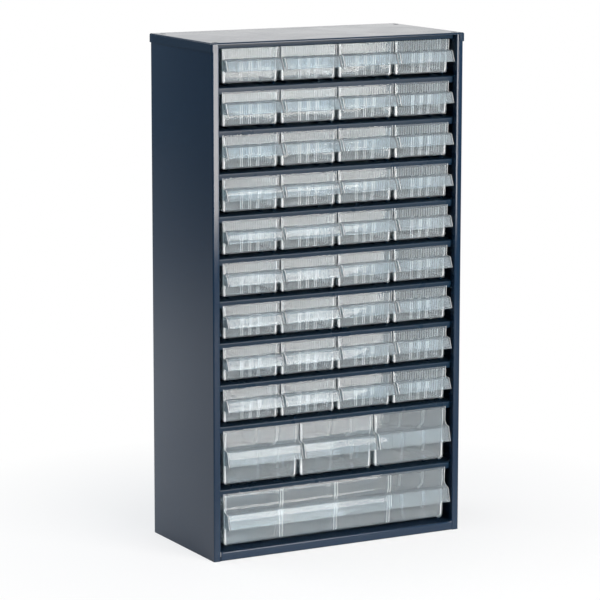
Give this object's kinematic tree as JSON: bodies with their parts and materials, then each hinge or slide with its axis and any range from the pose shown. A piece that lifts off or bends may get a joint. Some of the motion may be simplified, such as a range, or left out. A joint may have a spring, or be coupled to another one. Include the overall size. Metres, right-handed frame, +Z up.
{
  "type": "small-parts drawer cabinet",
  "caption": "Free-standing folded-steel cabinet with rows of small translucent drawers over wider ones, each sliding out of the front to a rear stop.",
  "frame": {"origin": "on the floor, under the middle of the whole object with its drawer handles", "axes": "+X to the right as seen from the front, +Y to the back, +Z up; the drawers face -Y"},
  "size_m": [0.306, 0.1554, 0.552],
  "materials": {
    "case_steel": "glossy dark blue powder coat",
    "cover_steel": "glossy dark blue powder coat",
    "drawer_plastic": "natural translucent polypropylene, smooth"
  },
  "bodies": {
    "case": {"left_side": "case_steel", "right_side": "case_steel", "back_panel": "case_steel", "top_cover": "cover_steel", "top_panel": "case_steel", "bottom_shelf": "case_steel", "shelf_01": "case_steel", "shelf_02": "case_steel", "shelf_03": "case_steel", "shelf_04": "case_steel", "shelf_05": "case_steel", "shelf_06": "case_steel", "shelf_07": "case_steel", "shelf_08": "case_steel", "shelf_09": "case_steel", "shelf_10": "case_steel"},
    "small_drawer_r1_c1": {"small_drawer_r1_c1": "drawer_plastic"},
    "small_drawer_r1_c2": {"small_drawer_r1_c2": "drawer_plastic"},
    "small_drawer_r1_c3": {"small_drawer_r1_c3": "drawer_plastic"},
    "small_drawer_r1_c4": {"small_drawer_r1_c4": "drawer_plastic"},
    "small_drawer_r2_c1": {"small_drawer_r2_c1": "drawer_plastic"},
    "small_drawer_r2_c2": {"small_drawer_r2_c2": "drawer_plastic"},
    "small_drawer_r2_c3": {"small_drawer_r2_c3": "drawer_plastic"},
    "small_drawer_r2_c4": {"small_drawer_r2_c4": "drawer_plastic"},
    "small_drawer_r3_c1": {"small_drawer_r3_c1": "drawer_plastic"},
    "small_drawer_r3_c2": {"small_drawer_r3_c2": "drawer_plastic"},
    "small_drawer_r3_c3": {"small_drawer_r3_c3": "drawer_plastic"},
    "small_drawer_r3_c4": {"small_drawer_r3_c4": "drawer_plastic"},
    "small_drawer_r4_c1": {"small_drawer_r4_c1": "drawer_plastic"},
    "small_drawer_r4_c2": {"small_drawer_r4_c2": "drawer_plastic"},
    "small_drawer_r4_c3": {"small_drawer_r4_c3": "drawer_plastic"},
    "small_drawer_r4_c4": {"small_drawer_r4_c4": "drawer_plastic"},
    "small_drawer_r5_c1": {"small_drawer_r5_c1": "drawer_plastic"},
    "small_drawer_r5_c2": {"small_drawer_r5_c2": "drawer_plastic"},
    "small_drawer_r5_c3": {"small_drawer_r5_c3": "drawer_plastic"},
    "small_drawer_r5_c4": {"small_drawer_r5_c4": "drawer_plastic"},
    "small_drawer_r6_c1": {"small_drawer_r6_c1": "drawer_plastic"},
    "small_drawer_r6_c2": {"small_drawer_r6_c2": "drawer_plastic"},
    "small_drawer_r6_c3": {"small_drawer_r6_c3": "drawer_plastic"},
    "small_drawer_r6_c4": {"small_drawer_r6_c4": "drawer_plastic"},
    "small_drawer_r7_c1": {"small_drawer_r7_c1": "drawer_plastic"},
    "small_drawer_r7_c2": {"small_drawer_r7_c2": "drawer_plastic"},
    "small_drawer_r7_c3": {"small_drawer_r7_c3": "drawer_plastic"},
    "small_drawer_r7_c4": {"small_drawer_r7_c4": "drawer_plastic"},
    "small_drawer_r8_c1": {"small_drawer_r8_c1": "drawer_plastic"},
    "small_drawer_r8_c2": {"small_drawer_r8_c2": "drawer_plastic"},
    "small_drawer_r8_c3": {"small_drawer_r8_c3": "drawer_plastic"},
    "small_drawer_r8_c4": {"small_drawer_r8_c4": "drawer_plastic"},
    "small_drawer_r9_c1": {"small_drawer_r9_c1": "drawer_plastic"},
    "small_drawer_r9_c2": {"small_drawer_r9_c2": "drawer_plastic"},
    "small_drawer_r9_c3": {"small_drawer_r9_c3": "drawer_plastic"},
    "small_drawer_r9_c4": {"small_drawer_r9_c4": "drawer_plastic"},
    "medium_drawer_1": {"medium_drawer_1": "drawer_plastic"},
    "medium_drawer_2": {"medium_drawer_2": "drawer_plastic"},
    "medium_drawer_3": {"medium_drawer_3": "drawer_plastic"},
    "large_drawer": {"large_drawer": "drawer_plastic"}
  },
  "joints": [
    {"name": "slide_small_r1_c1", "type": "slide", "parent": "case", "child": "small_drawer_r1_c1", "axis": [0, -1, 0], "range_m": [0, 0.125]},
    {"name": "slide_small_r1_c2", "type": "slide", "parent": "case", "child": "small_drawer_r1_c2", "axis": [0, -1, 0], "range_m": [0, 0.125]},
    {"name": "slide_small_r1_c3", "type": "slide", "parent": "case", "child": "small_drawer_r1_c3", "axis": [0, -1, 0], "range_m": [0, 0.125]},
    {"name": "slide_small_r1_c4", "type": "slide", "parent": "case", "child": "small_drawer_r1_c4", "axis": [0, -1, 0], "range_m": [0, 0.125]},
    {"name": "slide_small_r2_c1", "type": "slide", "parent": "case", "child": "small_drawer_r2_c1", "axis": [0, -1, 0], "range_m": [0, 0.125]},
    {"name": "slide_small_r2_c2", "type": "slide", "parent": "case", "child": "small_drawer_r2_c2", "axis": [0, -1, 0], "range_m": [0, 0.125]},
    {"name": "slide_small_r2_c3", "type": "slide", "parent": "case", "child": "small_drawer_r2_c3", "axis": [0, -1, 0], "range_m": [0, 0.125]},
    {"name": "slide_small_r2_c4", "type": "slide", "parent": "case", "child": "small_drawer_r2_c4", "axis": [0, -1, 0], "range_m": [0, 0.125]},
    {"name": "slide_small_r3_c1", "type": "slide", "parent": "case", "child": "small_drawer_r3_c1", "axis": [0, -1, 0], "range_m": [0, 0.125]},
    {"name": "slide_small_r3_c2", "type": "slide", "parent": "case", "child": "small_drawer_r3_c2", "axis": [0, -1, 0], "range_m": [0, 0.125]},
    {"name": "slide_small_r3_c3", "type": "slide", "parent": "case", "child": "small_drawer_r3_c3", "axis": [0, -1, 0], "range_m": [0, 0.125]},
    {"name": "slide_small_r3_c4", "type": "slide", "parent": "case", "child": "small_drawer_r3_c4", "axis": [0, -1, 0], "range_m": [0, 0.125]},
    {"name": "slide_small_r4_c1", "type": "slide", "parent": "case", "child": "small_drawer_r4_c1", "axis": [0, -1, 0], "range_m": [0, 0.125]},
    {"name": "slide_small_r4_c2", "type": "slide", "parent": "case", "child": "small_drawer_r4_c2", "axis": [0, -1, 0], "range_m": [0, 0.125]},
    {"name": "slide_small_r4_c3", "type": "slide", "parent": "case", "child": "small_drawer_r4_c3", "axis": [0, -1, 0], "range_m": [0, 0.125]},
    {"name": "slide_small_r4_c4", "type": "slide", "parent": "case", "child": "small_drawer_r4_c4", "axis": [0, -1, 0], "range_m": [0, 0.125]},
    {"name": "slide_small_r5_c1", "type": "slide", "parent": "case", "child": "small_drawer_r5_c1", "axis": [0, -1, 0], "range_m": [0, 0.125]},
    {"name": "slide_small_r5_c2", "type": "slide", "parent": "case", "child": "small_drawer_r5_c2", "axis": [0, -1, 0], "range_m": [0, 0.125]},
    {"name": "slide_small_r5_c3", "type": "slide", "parent": "case", "child": "small_drawer_r5_c3", "axis": [0, -1, 0], "range_m": [0, 0.125]},
    {"name": "slide_small_r5_c4", "type": "slide", "parent": "case", "child": "small_drawer_r5_c4", "axis": [0, -1, 0], "range_m": [0, 0.125]},
    {"name": "slide_small_r6_c1", "type": "slide", "parent": "case", "child": "small_drawer_r6_c1", "axis": [0, -1, 0], "range_m": [0, 0.125]},
    {"name": "slide_small_r6_c2", "type": "slide", "parent": "case", "child": "small_drawer_r6_c2", "axis": [0, -1, 0], "range_m": [0, 0.125]},
    {"name": "slide_small_r6_c3", "type": "slide", "parent": "case", "child": "small_drawer_r6_c3", "axis": [0, -1, 0], "range_m": [0, 0.125]},
    {"name": "slide_small_r6_c4", "type": "slide", "parent": "case", "child": "small_drawer_r6_c4", "axis": [0, -1, 0], "range_m": [0, 0.125]},
    {"name": "slide_small_r7_c1", "type": "slide", "parent": "case", "child": "small_drawer_r7_c1", "axis": [0, -1, 0], "range_m": [0, 0.125]},
    {"name": "slide_small_r7_c2", "type": "slide", "parent": "case", "child": "small_drawer_r7_c2", "axis": [0, -1, 0], "range_m": [0, 0.125]},
    {"name": "slide_small_r7_c3", "type": "slide", "parent": "case", "child": "small_drawer_r7_c3", "axis": [0, -1, 0], "range_m": [0, 0.125]},
    {"name": "slide_small_r7_c4", "type": "slide", "parent": "case", "child": "small_drawer_r7_c4", "axis": [0, -1, 0], "range_m": [0, 0.125]},
    {"name": "slide_small_r8_c1", "type": "slide", "parent": "case", "child": "small_drawer_r8_c1", "axis": [0, -1, 0], "range_m": [0, 0.125]},
    {"name": "slide_small_r8_c2", "type": "slide", "parent": "case", "child": "small_drawer_r8_c2", "axis": [0, -1, 0], "range_m": [0, 0.125]},
    {"name": "slide_small_r8_c3", "type": "slide", "parent": "case", "child": "small_drawer_r8_c3", "axis": [0, -1, 0], "range_m": [0, 0.125]},
    {"name": "slide_small_r8_c4", "type": "slide", "parent": "case", "child": "small_drawer_r8_c4", "axis": [0, -1, 0], "range_m": [0, 0.125]},
    {"name": "slide_small_r9_c1", "type": "slide", "parent": "case", "child": "small_drawer_r9_c1", "axis": [0, -1, 0], "range_m": [0, 0.125]},
    {"name": "slide_small_r9_c2", "type": "slide", "parent": "case", "child": "small_drawer_r9_c2", "axis": [0, -1, 0], "range_m": [0, 0.125]},
    {"name": "slide_small_r9_c3", "type": "slide", "parent": "case", "child": "small_drawer_r9_c3", "axis": [0, -1, 0], "range_m": [0, 0.125]},
    {"name": "slide_small_r9_c4", "type": "slide", "parent": "case", "child": "small_drawer_r9_c4", "axis": [0, -1, 0], "range_m": [0, 0.125]},
    {"name": "slide_medium_1", "type": "slide", "parent": "case", "child": "medium_drawer_1", "axis": [0, -1, 0], "range_m": [0, 0.125]},
    {"name": "slide_medium_2", "type": "slide", "parent": "case", "child": "medium_drawer_2", "axis": [0, -1, 0], "range_m": [0, 0.125]},
    {"name": "slide_medium_3", "type": "slide", "parent": "case", "child": "medium_drawer_3", "axis": [0, -1, 0], "range_m": [0, 0.125]},
    {"name": "slide_large", "type": "slide", "parent": "case", "child": "large_drawer", "axis": [0, -1, 0], "range_m": [0, 0.125]}
  ]
}
